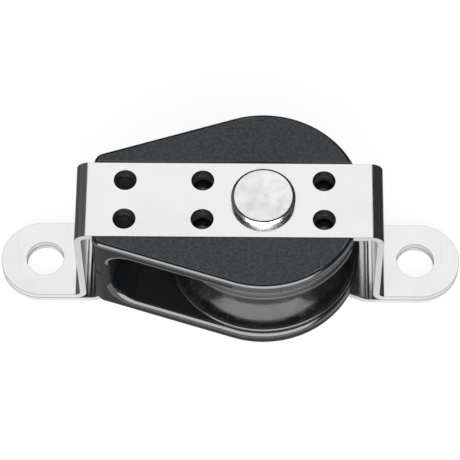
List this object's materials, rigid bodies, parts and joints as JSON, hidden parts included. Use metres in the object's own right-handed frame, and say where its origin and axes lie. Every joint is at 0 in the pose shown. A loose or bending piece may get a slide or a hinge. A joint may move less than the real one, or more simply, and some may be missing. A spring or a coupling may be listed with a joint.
{
  "type": "cheek block",
  "caption": "Ball-bearing cheek block: grooved sheave between moulded cheeks, under a folded steel strap with an eared foot at each end and a base plate.",
  "frame": {"origin": "on the deck, midway between the two fastener holes", "axes": "+X along the strap towards the sheave end, +Y across it, +Z away from the deck along the axle"},
  "size_m": [0.07, 0.0294, 0.0223],
  "materials": {
    "strip_steel": "polished",
    "rivet_steel": "polished, lightly dimpled",
    "cheek_plastic": "fine spark-eroded grain, glossy edges",
    "sheave_plastic": "glossy",
    "race_plastic": "smooth",
    "ball_plastic": "smooth"
  },
  "bodies": {
    "block": {"top_strap": "strip_steel", "base_plate": "strip_steel", "upper_cheek": "cheek_plastic", "lower_cheek": "cheek_plastic", "upper_race": "race_plastic", "lower_race": "race_plastic", "axle_rivet": "rivet_steel"},
    "sheave": {"sheave": "sheave_plastic"},
    "ball_rows": {"ball_01": "ball_plastic", "ball_02": "ball_plastic", "ball_03": "ball_plastic", "ball_04": "ball_plastic", "ball_05": "ball_plastic", "ball_06": "ball_plastic", "ball_07": "ball_plastic", "ball_08": "ball_plastic", "ball_09": "ball_plastic", "ball_10": "ball_plastic", "ball_11": "ball_plastic", "ball_12": "ball_plastic", "ball_13": "ball_plastic", "ball_14": "ball_plastic", "ball_15": "ball_plastic", "ball_16": "ball_plastic", "ball_17": "ball_plastic", "ball_18": "ball_plastic", "ball_19": "ball_plastic", "ball_20": "ball_plastic", "ball_21": "ball_plastic", "ball_22": "ball_plastic", "ball_23": "ball_plastic", "ball_24": "ball_plastic"}
  },
  "joints": [
    {"name": "sheave_spin", "type": "hinge", "parent": "block", "child": "sheave", "pos_m": [0.005, 0, 0.01195], "axis": [0, 0, 1], "continuous": true},
    {"name": "ball_orbit", "type": "hinge", "parent": "block", "child": "ball_rows", "pos_m": [0.005, 0, 0.01195], "axis": [0, 0, 1], "continuous": true}
  ],
  "couplings": [
    {"joint": "ball_orbit", "follows": "sheave_spin", "ratio": 0.625}
  ]
}
